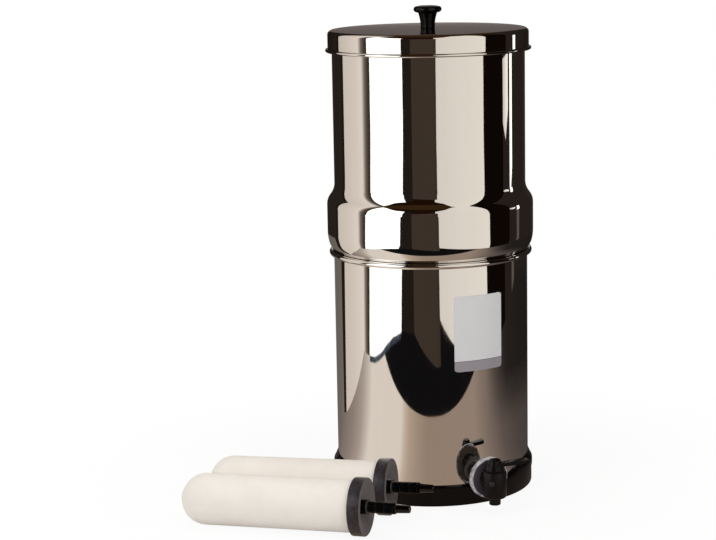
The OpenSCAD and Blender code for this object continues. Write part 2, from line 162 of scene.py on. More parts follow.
def added(tree, *kinds):
    """New nodes in the tree, each kind named without the start that the tree's own kinds share."""
    start = "ShaderNode" if tree.type == "SHADER" else "GeometryNode"
    return [tree.nodes.new(kind if kind.startswith("ShaderNode") else start + kind) for kind in kinds]


def wired(tree, *links):
    """Links each pair of an output and an input."""
    for a, b in links:
        tree.links.new(a, b)


def node_group(name, inputs, output, kind="GeometryNodeTree"):
    """An empty node group with the named sockets, and its two end nodes."""
    tree = bpy.data.node_groups.new(name, kind)
    for label, socket in inputs:
        tree.interface.new_socket(label, in_out="INPUT", socket_type="NodeSocket" + socket)
    tree.interface.new_socket(output[0], in_out="OUTPUT", socket_type="NodeSocket" + output[1])
    return tree, tree.nodes.new("NodeGroupInput"), tree.nodes.new("NodeGroupOutput")


# Patches and specks that vary a finish over its surface
patches, ins, outs = node_group("patches", [("Vector", "Vector"), ("Size", "Float"), ("From", "Float"),
                                            ("To", "Float")], ("Mask", "Float"), "ShaderNodeTree")
noise, spread = added(patches, "TexNoise", "MapRange")
noise.inputs["Detail"].default_value = 5.0
noise.inputs["Roughness"].default_value = 0.55
spread.interpolation_type = "SMOOTHSTEP"
wired(patches,
      (ins.outputs["Vector"], noise.inputs["Vector"]), (ins.outputs["Size"], noise.inputs["Scale"]),
      (noise.outputs["Fac"], spread.inputs["Value"]), (ins.outputs["From"], spread.inputs["From Min"]),
      (ins.outputs["To"], spread.inputs["From Max"]), (spread.outputs["Result"], outs.inputs["Mask"]))


class Finish:
    """A material with one Principled shader, and short ways to feed its sockets."""

    def __init__(self, name, **values):
        self.material = bpy.data.materials.new(name)
        self.material.use_nodes = True
        self.tree = self.material.node_tree
        self.shader = self.tree.nodes["Principled BSDF"]
        for label, value in values.items():
            self.shader.inputs[label.replace("_", " ")].default_value = value
        self.coords = self.add("TexCoord").outputs["Object"]

    def add(self, kind, **values):
        """A new shader node with these settings."""
        node = self.tree.nodes.new("ShaderNode" + kind)
        for label, value in values.items():
            setattr(node, label, value)
        return node

    def link(self, a, b):
        self.tree.links.new(a, b)

    def stretched(self, x, y, z):
        """The object's coordinates, scaled by each axis."""
        node = self.add("Mapping")
        node.inputs["Scale"].default_value = (x, y, z)
        self.link(self.coords, node.inputs["Vector"])
        return node.outputs["Vector"]

    def mask(self, size, low, high, vector=None):
        """Patches: 0 where their noise is below low, and 1 above high."""
        node = self.add("Group", node_tree=patches)
        node.inputs["Size"].default_value = size
        node.inputs["From"].default_value = low
        node.inputs["To"].default_value = high
        self.link(vector or self.coords, node.inputs["Vector"])
        return node.outputs["Mask"]

    def between(self, mask, a, b):
        """A value or a colour that goes from a to b with the mask."""
        node = self.add("Mix", data_type="RGBA" if isinstance(a, tuple) else "FLOAT")
        n = 6 if isinstance(a, tuple) else 2
        node.inputs[n].default_value = (*a, 1) if isinstance(a, tuple) else a
        node.inputs[n + 1].default_value = (*b, 1) if isinstance(b, tuple) else b
        self.link(mask, node.inputs[0])
        return node.outputs[2 if isinstance(a, tuple) else 0]

    def over(self, under, mask, colour, blend="MIX"):
        """One colour laid over another, as far as the mask says."""
        node = self.add("Mix", data_type="RGBA", blend_type=blend)
        node.inputs[7].default_value = (*colour, 1)
        self.link(mask, node.inputs[0])
        self.link(under, node.inputs[6])
        return node.outputs[2]

    def bump(self, height, depth, strength=1.0, under=None):
        """A normal that follows the height, on top of another one if there is one under it."""
        node = self.add("Bump")
        node.inputs["Distance"].default_value = depth * mm
        node.inputs["Strength"].default_value = strength
        self.link(height, node.inputs["Height"])
        if under is not None:
            self.link(under, node.inputs["Normal"])
        return node.outputs["Normal"]

    def feed(self, **sources):
        """Links a source to each named socket of the shader."""
        for label, source in sources.items():
            self.link(source, self.shader.inputs[label.replace("_", " ")])
        return self


steel = Finish("polished_steel", Metallic=1.0)
streak = steel.mask(1.0, 0.38, 0.72, steel.stretched(95, 95, 4))
drawn = steel.mask(1.0, 0.35, 0.65, steel.stretched(520, 520, 14))
sway = steel.mask(7.0, 0.2, 0.8, steel.stretched(1, 1, 0.6))
steel.feed(Base_Color=steel.between(streak, (0.855, 0.83, 0.80), (0.84, 0.815, 0.785)),
           Roughness=steel.between(streak, 0.025, 0.04),
           Normal=steel.bump(drawn, 0.0012, 0.6, steel.bump(sway, 0.06, 0.5)))

lower_corner = (lower_r - lower_round, lower_z + lower_round)
wall_rows = [(lower_r, z) for z in (22, 47, 120)]  # edge rows above and below the shank's hole
lower_outline = ([(0, lower_z)] + arc(lower_corner, lower_round, -90, 0, 20) + wall_rows
                 + arc((rim_r, rim_z), rim_bead, 180 + curl(rim_bead), 540, 44)
                 + [(r - sheet, z) for r, z in reversed(wall_rows)]
                 + list(reversed(arc(lower_corner, lower_round - sheet, -90, 0, 20)))
                 + [(0, lower_z + sheet)])
lower_mesh = drilled(turned("lower_vessel_wall", lower_outline),
                     ((0, -90, tap_z), (0, -110, tap_z), shank_hole_r))
piece("lower_vessel_wall", softened(lower_mesh), steel.material, "lower", "lower_vessel")


# ---- Base ring -----------------------
# A moulded ring of gloss black plastic carries the lower vessel on a ledge inside it. Its top
# edge slopes to the wall, and dips under the tap so that the tap's disc clears it.

gloss = Finish("gloss_black_plastic", Roughness=0.2, IOR=1.5, Specular_IOR_Level=0.2)
dust = gloss.mask(90.0, 0.55, 0.8)
gloss.feed(Base_Color=gloss.between(dust, (0.0022, 0.0018, 0.0024), (0.008, 0.0072, 0.0076)),
           Roughness=gloss.between(dust, 0.16, 0.34),
           Normal=gloss.bump(gloss.mask(260.0, 0.2, 0.8), 0.02, 0.35))

ring_in = lower_r + 0.05        # the ring's inside, round the vessel's wall
ring_r = ring_in + 3.8
ring_lip = ring_r + 0.7         # a lip stands out where the top edge starts to slope
ring_h, ring_slope = 32.0, 23.5
ledge_in = ring_r - 20
dip_z = 21.5
# The dip's corners from left to right: its left end is steep, and its right end long and low
dip = [(-89, ring_h + 2), (-78, dip_z), (39, dip_z), (79, ring_h + 2)]


def trough(steps=150):
    """What is cut from the ring's top edge: it dips between the corners, and slopes outwards."""
    inner, outer, top = ring_in - 1, ring_lip + 2, 45
    bm = bmesh.new()
    slices = []
    for k in range(steps + 1):
        x = dip[0][0] + (dip[-1][0] - dip[0][0]) * k / steps
        for (x0, z0), (x1, z1) in zip(dip, dip[1:]):
            if x0 <= x <= x1:
                z = z0 + (z1 - z0) * (x - x0) / (x1 - x0)
        a = math.asin(x / ring_r)
        slices.append([bm.verts.new((r * mm * math.sin(a), -r * mm * math.cos(a), h * mm)) for r, h in
                       ((inner, z + 0.5), (outer, z - 3.0), (outer, top), (inner, top))])
    for one, two in zip(slices, slices[1:]):
        for i in range(4):
            bm.faces.new((one[i], one[(i + 1) % 4], two[(i + 1) % 4], two[i]))
    bm.faces.new(slices[0])
    bm.faces.new(slices[-1])
    bmesh.ops.recalc_face_normals(bm, faces=bm.faces)
    return meshed(bm, "trough")


def rounded(mesh, round_off, angle=32, steps=3):
    """The mesh with its sharp edges rounded off."""
    obj = placed("blank", mesh)
    edge = obj.modifiers.new("edges", "BEVEL")
    edge.width, edge.segments, edge.limit_method = round_off * mm, steps, "ANGLE"
    edge.angle_limit = math.radians(angle)
    return baked(obj)


def copied(node, round_off=0.0, angle=32):
    """A finer copy of a CAD piece: its triangles joined, its sharp edges rounded off."""
    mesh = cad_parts[node].data.copy()
    bm = bmesh.new()
    bm.from_mesh(mesh)
    bmesh.ops.remove_doubles(bm, verts=bm.verts, dist=0.002 * mm)
    bmesh.ops.dissolve_limit(bm, angle_limit=math.radians(1.0), verts=bm.verts, edges=bm.edges)
    bm.to_mesh(mesh)
    bm.free()
    return softened(rounded(mesh, round_off, angle) if round_off else mesh, angle)


foot_round, lip_round = 1.5, 3
ring_outline = ([(ledge_in, 0)] + arc((ring_r - foot_round, foot_round), foot_round, -90, 0, 6)
                + [(ring_r, ring_slope - 9), (ring_lip, ring_slope - 5)]
                + arc((ring_lip - lip_round, ring_slope), lip_round, 0, 50, 8)
                + [(ring_in + 0.9, ring_h - 0.1), (ring_in + 0.4, ring_h), (ring_in, ring_h - 0.4),
                   (ring_in, lower_z), (ledge_in, lower_z)])
ring_mesh = worked(turned("base_ring_moulding", ring_outline, 240), [trough()])
piece("base_ring_moulding", softened(rounded(ring_mesh, 0.5)), gloss.material, "lower", "base_ring")


# ---- Upper vessel --------------------
# The upper vessel is drawn from one sheet too: its foot stands inside the lower vessel, the
# round tuck rests on the rolled rim, and two holes in its floor take the candles' stems.

bulge_r = lower_r + 6.3
step_in = 8                     # from the bulge to the narrow wall above it
upper_r = bulge_r - step_in
foot_r = lower_r - sheet - 1.4
foot_corner = 8                 # radius of the foot's bottom corner
floor_z = rim_z - 26            # underside of the foot, inside the lower vessel

# The tuck turns in ever more tightly on three arcs, the last of which rests on the rolled rim
tuck_r = (46.0, 19.5, 8.0)
tuck_turns = (13.2, 42.0)       # how far down it has turned where one arc passes to the next
heart = [(bulge_r - tuck_r[0], 0.0)]  # the middles of the three arcs
for r0, r1, turn in zip(tuck_r, tuck_r[1:], tuck_turns):
    a = math.radians(-turn)
    heart.append((heart[-1][0] + (r0 - r1) * math.cos(a), heart[-1][1] + (r0 - r1) * math.sin(a)))
drop = (rim_z + math.sqrt((tuck_r[2] + rim_bead + lift_gap) ** 2 - (rim_r - heart[2][0]) ** 2)
        - heart[2][1])
heart = [(x, z + drop) for x, z in heart]
fillet_r = 4                    # where the tuck passes to the foot
fillet_x = foot_r + fillet_r
fillet_z = heart[2][1] - math.sqrt((tuck_r[2] + fillet_r) ** 2 - (fillet_x - heart[2][0]) ** 2)
tuck_angle = math.degrees(math.atan2(fillet_z - heart[2][1], fillet_x - heart[2][0]))

# The bulge's straight band starts where a single arc of mean_tuck from the rim would end
mean_tuck = 42
tuck_z = rim_z + math.sqrt((mean_tuck + rim_bead + lift_gap) ** 2 - (rim_r - bulge_r + mean_tuck) ** 2)
shoulder_z = tuck_z + 25
convex_r, concave_r = 15.5, 20.5  # the shoulder's S-curve, from below
shoulder_angle = 38.5           # its steepest part, from upright
steepest = math.radians(shoulder_angle)
neck_z = (shoulder_z + (convex_r + concave_r) * math.sin(steepest)
          + (step_in - (convex_r + concave_r) * (1 - math.cos(steepest))) / math.tan(steepest))
top_rim_z = neck_z + 153.7
top_bead = 1.85
top_rim_r = upper_r - sheet + top_bead
hole_x, stem_hole_r = 50, 6.5   # the holes in the floor


def upper_side(t):
    """The vessel's outline at a depth of t in its sheet, from the floor's middle to the top rim.

    Where one arc of the tuck goes on from another, it starts a little later."""
    return ([(0, floor_z + t)]
            + arc((foot_r - foot_corner, floor_z + foot_corner), foot_corner - t, -90, 0, 16)
            + arc((fillet_x, fillet_z), fillet_r + t, 180, 180 + tuck_angle, 12)
            + arc(heart[2], tuck_r[2] - t, tuck_angle, -tuck_turns[1], 10)
            + arc(heart[1], tuck_r[1] - t, 2 - tuck_turns[1], -tuck_turns[0], 20)
            + arc(heart[0], tuck_r[0] - t, 1.2 - tuck_turns[0], 0, 16)
            + arc((bulge_r - convex_r, shoulder_z), convex_r - t, 0, shoulder_angle, 24)
            + arc((upper_r + concave_r, neck_z), concave_r + t, 180 + shoulder_angle, 180, 24))


upper_outline = (upper_side(0)
                 + arc((top_rim_r, top_rim_z), top_bead, 180 + curl(top_bead), 540, 32)
                 + list(reversed(upper_side(sheet))))
upper_mesh = drilled(turned("upper_vessel_wall", upper_outline),
                     *[((x, 0, floor_z - 3), (x, 0, floor_z + 4), stem_hole_r) for x in (-hole_x, hole_x)])
piece("upper_vessel_wall", softened(upper_mesh), steel.material, "upper", "upper_vessel")


# ---- Lid -----------------------------
# The lid is a shallow drawn cap of the same steel, with a soft top edge and its hem rolled
# outwards. It drops over the upper vessel's rim and lifts off by the knob.

lid_r = top_rim_r + top_bead + 0.4 + sheet
lid_round = 4.5                 # radius of the lid's top edge
past = lid_round + top_rim_r - lid_r
lid_z = top_rim_z + lid_round - math.sqrt(
    max(0.0, (lid_round - sheet - top_bead - lift_gap) ** 2 - past ** 2))
hem = 1.75                      # radius of the rolled hem's section
hem_z = lid_z - 22.2 + hem
screw_hole_r = 2.6
lid_edge = (lid_r - lid_round, lid_z - lid_round)
lid_outline = ([(0, lid_z)] + arc(lid_edge, lid_round, 90, 0, 20)
               + arc((lid_r - sheet + hem, hem_z), hem, 180 - curl(hem), -180, 32)
               + arc(lid_edge, lid_round - sheet, 0, 90, 16) + [(0, lid_z - sheet)])
lid_mesh = drilled(turned("lid_cap", lid_outline), ((0, 0, lid_z - 4), (0, 0, lid_z + 3), screw_hole_r))


def of_two(finish, attribute, a, b):
    """A value or a colour that is a, and b where the piece's own attribute says so."""
    mark = finish.add("Attribute", attribute_name=attribute)
    return finish.between(mark.outputs["Fac"], a, b)


def marked(mesh, attribute, test):
    """The mesh with an attribute that is 1 on the faces that pass the test."""
    layer = mesh.attributes.new(attribute, "FLOAT", "CORNER")
    for face in mesh.polygons:
        for loop in face.loop_indices:
            layer.data[loop].value = float(test(face))
    return mesh


# The lid's flat top is painted darker than the rest: a painted shade that dims the bright reflection on it.
# It is also rougher
lid_steel = Finish("polished_lid_steel", Metallic=1.0, Specular_Tint=(0.62, 0.60, 0.58, 1))
lid_drawn = lid_steel.mask(1.0, 0.35, 0.65, lid_steel.stretched(520, 520, 14))
lid_steel.feed(Base_Color=of_two(lid_steel, "top", (0.85, 0.825, 0.79), (0.42, 0.395, 0.375)),
               Roughness=of_two(lid_steel, "top", 0.03, 0.10),
               Normal=lid_steel.bump(lid_drawn, 0.0012, 0.6))
marked(lid_mesh, "top", lambda face: face.normal.z > 0.97 and face.center.z > (lid_z - 0.6) * mm)
piece("lid_cap", softened(lid_mesh), lid_steel.material, "lid", "lid")


# ---- Knob ----------------------------
# A turned gloss black knob with a wide flange stands on the lid. A slotted steel screw comes up
# through a rubber washer under the lid and holds it.

knob_h = 23.4
flange_round = 3.1              # radius of the flange's edge
flange_z = knob_h - 0.7 - 2 * flange_round
flange_x = 14.45 - flange_round
stalk_r, stalk_z = 7.4, 2.2     # the knob's foot, and where it starts to flare
fillet = 2                      # under the flange
waist_x = flange_x - fillet
rise = flange_z - fillet - stalk_z
flare = (rise ** 2 + (waist_x - stalk_r) ** 2) / 2 / (waist_x - stalk_r)
sweep = math.degrees(math.asin(rise / flare))
knob_outline = [(r, lid_z + z) for r, z in
                [(0, 0), (stalk_r - 0.4, 0), (stalk_r - 0.1, 0.1), (stalk_r, 0.4)]
                + arc((stalk_r + flare, stalk_z), flare, 180, 180 - sweep, 24)
                + arc((waist_x + fillet, flange_z - fillet), fillet, 180, 90, 12)
                + arc((flange_x, flange_z + flange_round), flange_round, -90, 75, 28)
                + [(8, knob_h - 0.12), (0, knob_h)]]
knob_black = Finish("polished_knob_plastic", Roughness=0.1, IOR=1.5, Specular_IOR_Level=0.25)
wipe = knob_black.mask(70.0, 0.5, 0.75)
knob_black.feed(Base_Color=knob_black.between(wipe, (0.002, 0.002, 0.002), (0.006, 0.0055, 0.0055)),
                Roughness=knob_black.between(wipe, 0.07, 0.16),
                Normal=knob_black.bump(knob_black.mask(420.0, 0.2, 0.8), 0.01, 0.3))
piece("knob_turning", softened(turned("knob_turning", knob_outline, 128)), knob_black.material,
      "lid", "lid_knob")

screw_steel = Finish("turned_screw_steel", Metallic=1.0)
lathe = screw_steel.mask(1.0, 0.3, 0.7, screw_steel.stretched(300, 300, 6000))
screw_steel.feed(Base_Color=screw_steel.between(lathe, (0.62, 0.61, 0.6), (0.5, 0.49, 0.48)),
                 Roughness=screw_steel.between(lathe, 0.25, 0.42))
piece("knob_screw_slotted", copied("knob_screw", 0.2), screw_steel.material, "lid", "knob_screw")

rubber = Finish("black_rubber", Roughness=0.7)
bloom = rubber.mask(160.0, 0.4, 0.75)
rubber.feed(Base_Color=rubber.between(bloom, (0.022, 0.022, 0.023), (0.05, 0.049, 0.048)),
            Roughness=rubber.between(bloom, 0.62, 0.8),
            Normal=rubber.bump(rubber.mask(700.0, 0.2, 0.8), 0.02, 0.5))
piece("knob_washer_rubber", copied("knob_washer", 0.25), rubber.material, "lid", "knob_washer")


# ---- Tap body ------------------------
# One moulding in satin black plastic: the threaded shank, the round disc, the upright barrel
# and the spout. Rubber gaskets, a fluted collar and a nut clamp it to the lower vessel's wall.

satin = Finish("satin_black_plastic", Roughness=0.3, IOR=1.5, Specular_IOR_Level=0.17)
handled = satin.mask(70.0, 0.3, 0.8)
satin.feed(Base_Color=satin.between(handled, (0.0030, 0.0022, 0.0022), (0.0072, 0.0055, 0.0055)),
           Roughness=satin.between(handled, 0.26, 0.36),
           Normal=satin.bump(satin.mask(1100.0, 0.2, 0.8), 0.008, 0.4))

tap_axis_y = -141.9             # middle of the barrel
neck_r, barrel_r = 11.2, 11.9
shank_r, water_r = 8, 4.25
shoulder_r = 10.5               # between the shank and the disc
disc_r, disc_bevel = 20.9, 1.7
disc_back, disc_front = 126.8, 131.0
pip_turn = math.radians(-41)    # the pip's place round the barrel
pip_r, pip_z = 11.2, 34.2
pip_place = (pip_r + 2) * math.sin(pip_turn), tap_axis_y - (pip_r + 2) * math.cos(pip_turn), pip_z


def tap_black_with_painted_light():
    """The tap body's black, with painted light: the disc's face is painted greyer where light falls on it,
    its bevel has a pale painted highlight in patches, and its back is painted a pale brown-grey for light
    reflected on to it. The pip on the barrel has a small painted highlight too."""
    finish = Finish("tap_body_black", Roughness=0.3, IOR=1.5, Specular_IOR_Level=0.18)
    spot = finish.add("SeparateXYZ")
    finish.link(finish.coords, spot.inputs["Vector"])
    flat = finish.add("CombineXYZ")
    level = finish.add("Math", operation="SUBTRACT")
    level.inputs[1].default_value = tap_z * mm
    finish.link(spot.outputs["Z"], level.inputs[0])
    finish.link(spot.outputs["X"], flat.inputs["X"])
    finish.link(level.outputs[0], flat.inputs["Y"])
    reach = finish.add("VectorMath", operation="LENGTH")
    finish.link(flat.outputs[0], reach.inputs[0])

    def step(source, low, high):
        """0 at low and 1 at high, in millimetres; low may be the larger."""
        node = finish.add("MapRange")
        node.inputs["From Min"].default_value = low * mm
        node.inputs["From Max"].default_value = high * mm
        finish.link(source, node.inputs["Value"])
        return node.outputs["Result"]

    def both(a, b):
        """Where both masks are 1."""
        node = finish.add("Math", operation="MULTIPLY")
        finish.link(a, node.inputs[0])
        finish.link(b, node.inputs[1])
        return node.outputs[0]

    # Masks for the painted light on the disc's face, the painted highlight on its bevel and the light on its
    # back
    on_disc = step(spot.outputs["Y"], -disc_front - 0.3, -disc_front - 0.1)
    bevel = both(on_disc, step(reach.outputs["Value"], disc_r - 2.4, disc_r - 1.8))
    face = both(on_disc, step(spot.outputs["Y"], 0.8 - disc_front, 0.2 - disc_front))
    highlight_patches = finish.mask(180.0, 0.25, 0.6)
    back = both(both(step(spot.outputs["Y"], -disc_back - 0.8, -disc_back - 0.4),
                     step(reach.outputs["Value"], disc_r - 1.5, disc_r - 2.1)),
                step(reach.outputs["Value"], shoulder_r + 0.1, shoulder_r + 0.5))
    shade = finish.between(finish.mask(70.0, 0.3, 0.8), (0.0045, 0.0035, 0.0036), (0.0095, 0.0078, 0.0080))
    from_pip = finish.add("VectorMath", operation="DISTANCE")
    from_pip.inputs[1].default_value = [v * mm for v in pip_place]
    finish.link(finish.coords, from_pip.inputs[0])
    # Painted light laid over the black: on the disc's back, its face and its bevel, and a painted highlight
    # on the pip
    for mask, colour in ((back, (0.13, 0.108, 0.09)), (face, (0.058, 0.048, 0.060)),
                         (both(bevel, highlight_patches), (0.50, 0.48, 0.50)),
                         (step(from_pip.outputs["Value"], 3.4, 2.2), (0.024, 0.020, 0.020))):
        shade = finish.over(shade, mask, colour)
    return finish.feed(Base_Color=shade, Roughness=finish.between(bevel, 0.34, 0.5),
                       Normal=finish.bump(finish.mask(1100.0, 0.2, 0.8), 0.008, 0.4))


# Shank, disc and neck, from the shank's inner end outwards
shank_end, shank_front = 85.2, 118.25
through = turned("tap_through", [(0, shank_end), (shank_r, shank_end), (shank_r, shank_front),
                                 (shoulder_r, shank_front), (shoulder_r, disc_back), (disc_r, disc_back),
                                 (disc_r, disc_front - disc_bevel), (disc_r - disc_bevel, disc_front),
                                 (neck_r, disc_front), (neck_r, -tap_axis_y), (0, -tap_axis_y)], 96)
through.transform(Matrix.Translation((0, 0, tap_z * mm)) @ Matrix.Rotation(math.pi / 2, 4, "X"))
# The spout and the chamfered barrel over it, from below
barrel = turned("tap_barrel", [(0, 9.8), (5.3, 9.8), (5.8, 10.3), (5.9, 15.2), (6.4, 16.5), (10.4, 17.5),
                               (11.2, 18.2), (barrel_r, 19.6), (barrel_r, 43.2), (11.6, 43.8),
                               (10.9, 44.5), (10.4, 44.7), (0, 44.7)], 96)
pip = turned("tap_pip", [(0, -2), (3.1, -2)] + arc((0.9, 0.6), 2.2, 0, 90, 8) + [(0, 2.8)], 32)
pip.transform(Matrix.Rotation(pip_turn, 4, "Z") @ Matrix.Translation((0, -pip_r * mm, pip_z * mm))
              @ Matrix.Rotation(math.pi / 2, 4, "X"))
for part in (barrel, pip):
    part.transform(Matrix.Translation((0, tap_axis_y * mm, 0)))
bore_r, spout_r = 8.55, 4.0     # the plug's bore, and the way out below it
tap_mesh = drilled(worked(through, [barrel, pip], "UNION"),
                   ((0, -84, tap_z), (0, tap_axis_y, tap_z), water_r),
                   ((0, tap_axis_y, 23.75), (0, tap_axis_y, 50), bore_r),
                   ((0, tap_axis_y, 5), (0, tap_axis_y, 30), spout_r))
piece("tap_body_moulding", softened(rounded(tap_mesh, 0.3, 28, 2), 28), tap_black_with_painted_light().material,
      "lower", "tap_body")
piece("tap_collar_fluted", copied("tap_collar", 0.25), satin.material, "lower", "tap_collar")
piece("tap_nut_hexagon", copied("tap_nut", 0.6), satin.material, "lower", "tap_nut")
piece("tap_outer_gasket_rubber", copied("tap_outer_gasket", 0.3), rubber.material,
      "lower", "tap_outer_gasket")
piece("tap_inner_gasket_rubber", copied("tap_inner_gasket", 0.3), rubber.material,
      "lower", "tap_inner_gasket")


# ---- Plug and its rings --------------
# The plug turns in the barrel and opens or shuts the water way. It is matt acetal plastic, with
# a rubber ring in a groove above and below its side port.

acetal = Finish("matt_plug_plastic", Roughness=0.5)
scuff = acetal.mask(200.0, 0.4, 0.7)
acetal.feed(Base_Color=acetal.between(scuff, (0.05, 0.05, 0.05), (0.09, 0.088, 0.085)),
            Roughness=acetal.between(scuff, 0.45, 0.6))
piece("tap_plug_turned", copied("tap_plug", 0.2), acetal.material, "tap_lever", "tap_plug")
piece("plug_rings_rubber", copied("plug_rings"), rubber.material, "tap_lever", "plug_rings")


# ---- Lever handle --------------------
# The handle is a tapering ribbed hub with a flat lever, moulded in one piece in black plastic.
# It is pressed on to the square end of the plug and turns with it.

hub_z = tap_z + 10.5            # the hub's underside, on the barrel


def grown(tree, **values):
    """The mesh that a Geometry Nodes tree makes from the given sizes."""
    obj = placed("blank", bpy.data.meshes.new("blank"))
    maker = obj.modifiers.new("maker", "NODES")
    maker.node_group = tree
    for socket in tree.interface.items_tree:
        label = socket.name.replace(" ", "_")
        if label in values:
            maker[socket.identifier] = values[label]
    return baked(obj)


def joined(name, *meshes):
    """One mesh of them all."""
    bm = bmesh.new()
    for mesh in meshes:
        bm.from_mesh(mesh)
    return meshed(bm, name)


# Round ribs that stand in a circle and lean towards its middle
rib_tree, ins, outs = node_group("grip_ribs", [
    ("Count", "Int"), ("Circle Radius", "Float"), ("Lean", "Vector"), ("Rib Radius", "Float"),
    ("Material", "Material")], ("Geometry", "Geometry"))
circle, spine, section, rib, where, stand, real, dress = added(
    rib_tree, "MeshCircle", "CurvePrimitiveLine", "CurvePrimitiveCircle", "CurveToMesh", "InputPosition",
    "InstanceOnPoints", "RealizeInstances", "SetMaterial")
parts, heading, turn_z = added(rib_tree, "ShaderNodeSeparateXYZ", "ShaderNodeMath", "ShaderNodeCombineXYZ")
section.inputs["Resolution"].default_value = 10
rib.inputs["Fill Caps"].default_value = True
heading.operation = "ARCTAN2"
wired(rib_tree,
      (ins.outputs["Count"], circle.inputs["Vertices"]),
      (ins.outputs["Circle Radius"], circle.inputs["Radius"]),
      (ins.outputs["Lean"], spine.inputs["End"]), (ins.outputs["Rib Radius"], section.inputs["Radius"]),
      (spine.outputs["Curve"], rib.inputs["Curve"]), (section.outputs["Curve"], rib.inputs["Profile Curve"]),
      (where.outputs["Position"], parts.inputs["Vector"]), (parts.outputs["Y"], heading.inputs[0]),
      (parts.outputs["X"], heading.inputs[1]), (heading.outputs[0], turn_z.inputs["Z"]),
      (circle.outputs["Mesh"], stand.inputs["Points"]), (rib.outputs["Mesh"], stand.inputs["Instance"]),
      (turn_z.outputs[0], stand.inputs["Rotation"]), (stand.outputs["Instances"], real.inputs["Geometry"]),
      (real.outputs["Geometry"], dress.inputs["Geometry"]),
      (ins.outputs["Material"], dress.inputs["Material"]),
      (dress.outputs["Geometry"], outs.inputs["Geometry"]))

ribs = grown(rib_tree, Count=8, Circle_Radius=8.1 * mm, Lean=(-1.2 * mm, 0, 7.4 * mm),
             Rib_Radius=1.35 * mm, Material=satin.material)
ribs.transform(Matrix.Translation((0, tap_axis_y * mm, (hub_z + 0.3) * mm)))
piece("tap_handle_moulding", softened(joined("tap_handle_moulding", copied("tap_handle", 0.4), ribs)),
      satin.material, "tap_lever", "tap_handle")


# ---- Candles -------------------------
# Each candle is a fired ceramic shell filled with carbon, bonded into a dished plastic cap. Its
# threaded stem goes through the upper vessel's floor, and a rubber washer seals it there.

ceramic = Finish("cream_ceramic", Roughness=0.85)
cloud = ceramic.mask(38.0, 0.3, 0.75)
pores = ceramic.mask(1500.0, 0.62, 0.75)
grain = ceramic.mask(600.0, 0.3, 0.7)
cream = ceramic.between(cloud, (0.835, 0.788, 0.735), (0.80, 0.75, 0.692))
ceramic.feed(Base_Color=ceramic.over(cream, pores, (0.92, 0.89, 0.85), "MULTIPLY"),
             Roughness=ceramic.between(cloud, 0.8, 0.92),
             Normal=ceramic.bump(grain, 0.05, 0.5))

charcoal = Finish("pressed_carbon", Roughness=0.9)
granule = charcoal.mask(900.0, 0.35, 0.65)
charcoal.feed(Base_Color=charcoal.between(granule, (0.012, 0.012, 0.012), (0.04, 0.04, 0.04)),
              Normal=charcoal.bump(granule, 0.3, 0.8))

# The cap's face is painted much lighter than its side: painted light on the face and painted shade on the
# side, for how the light falls on them. The face is also rougher, and chalky specks lie over all of it
cap_plastic = Finish("matt_cap_plastic", Roughness=0.4, IOR=1.5, Specular_IOR_Level=0.4)
chalk = cap_plastic.mask(260.0, 0.42, 0.62)
cap_grey = of_two(cap_plastic, "painted_lit_face", (0.018, 0.0145, 0.017), (0.112, 0.100, 0.101))
cap_plastic.feed(Base_Color=cap_plastic.over(cap_grey, chalk, (0.015, 0.0135, 0.015), "ADD"),
                 Roughness=of_two(cap_plastic, "painted_lit_face", 0.32, 0.62),
                 Normal=cap_plastic.bump(cap_plastic.mask(900.0, 0.2, 0.8), 0.04, 0.5))

stem_black = Finish("black_stem_plastic", Roughness=0.2, IOR=1.5, Specular_IOR_Level=0.03)
wear = stem_black.mask(300.0, 0.5, 0.8)
stem_black.feed(Base_Color=stem_black.between(wear, (0.0006, 0.0005, 0.0007), (0.003, 0.0025, 0.0029)),
                Roughness=of_two(stem_black, "smooth", 0.24, 0.14),
                Coat_Weight=of_two(stem_black, "smooth", 0.0, 1.0))

# A thread's ridge, wound up round the upright axis
thread_tree, ins, outs = node_group("thread_ridge", [
    ("Radius", "Float"), ("Length", "Float"), ("Turns", "Float"), ("Ridge", "Float"),
    ("Material", "Material")], ("Geometry", "Geometry"))
spiral, section, ridge, real, dress = added(
    thread_tree, "CurveSpiral", "CurvePrimitiveCircle", "CurveToMesh", "RealizeInstances", "SetMaterial")
spiral.inputs["Resolution"].default_value = 40
section.inputs["Resolution"].default_value = 4
ridge.inputs["Fill Caps"].default_value = True
wired(thread_tree,
      (ins.outputs["Radius"], spiral.inputs["Start Radius"]),
      (ins.outputs["Radius"], spiral.inputs["End Radius"]),
      (ins.outputs["Length"], spiral.inputs["Height"]), (ins.outputs["Turns"], spiral.inputs["Rotations"]),
      (ins.outputs["Ridge"], section.inputs["Radius"]), (spiral.outputs["Curve"], ridge.inputs["Curve"]),
      (section.outputs["Curve"], ridge.inputs["Profile Curve"]),
      (ridge.outputs["Mesh"], real.inputs["Geometry"]), (real.outputs["Geometry"], dress.inputs["Geometry"]),
      (ins.outputs["Material"], dress.inputs["Material"]),
      (dress.outputs["Geometry"], outs.inputs["Geometry"]))

candle_r, candle_l, cap_r, cap_t = 25.7, 192.0, 28.75, 13.0
dish = 6.5                      # depth of the hollow in the cap's face
thread_r, thread_end = 5.5, 29.5
stem_outline = [(2.5, -9.9), (6, -9.9), (6, 0.05 - dish), (7.5, 0.05 - dish), (7.5, -0.5), (7, 0),
                (thread_r, 0), (thread_r, 28.8), (5.0, thread_end), (4.5, thread_end), (3.8, 42.7),
                (3.2, 43.5), (1.8, 43.5), (1.8, thread_end), (2.5, 27.5)]
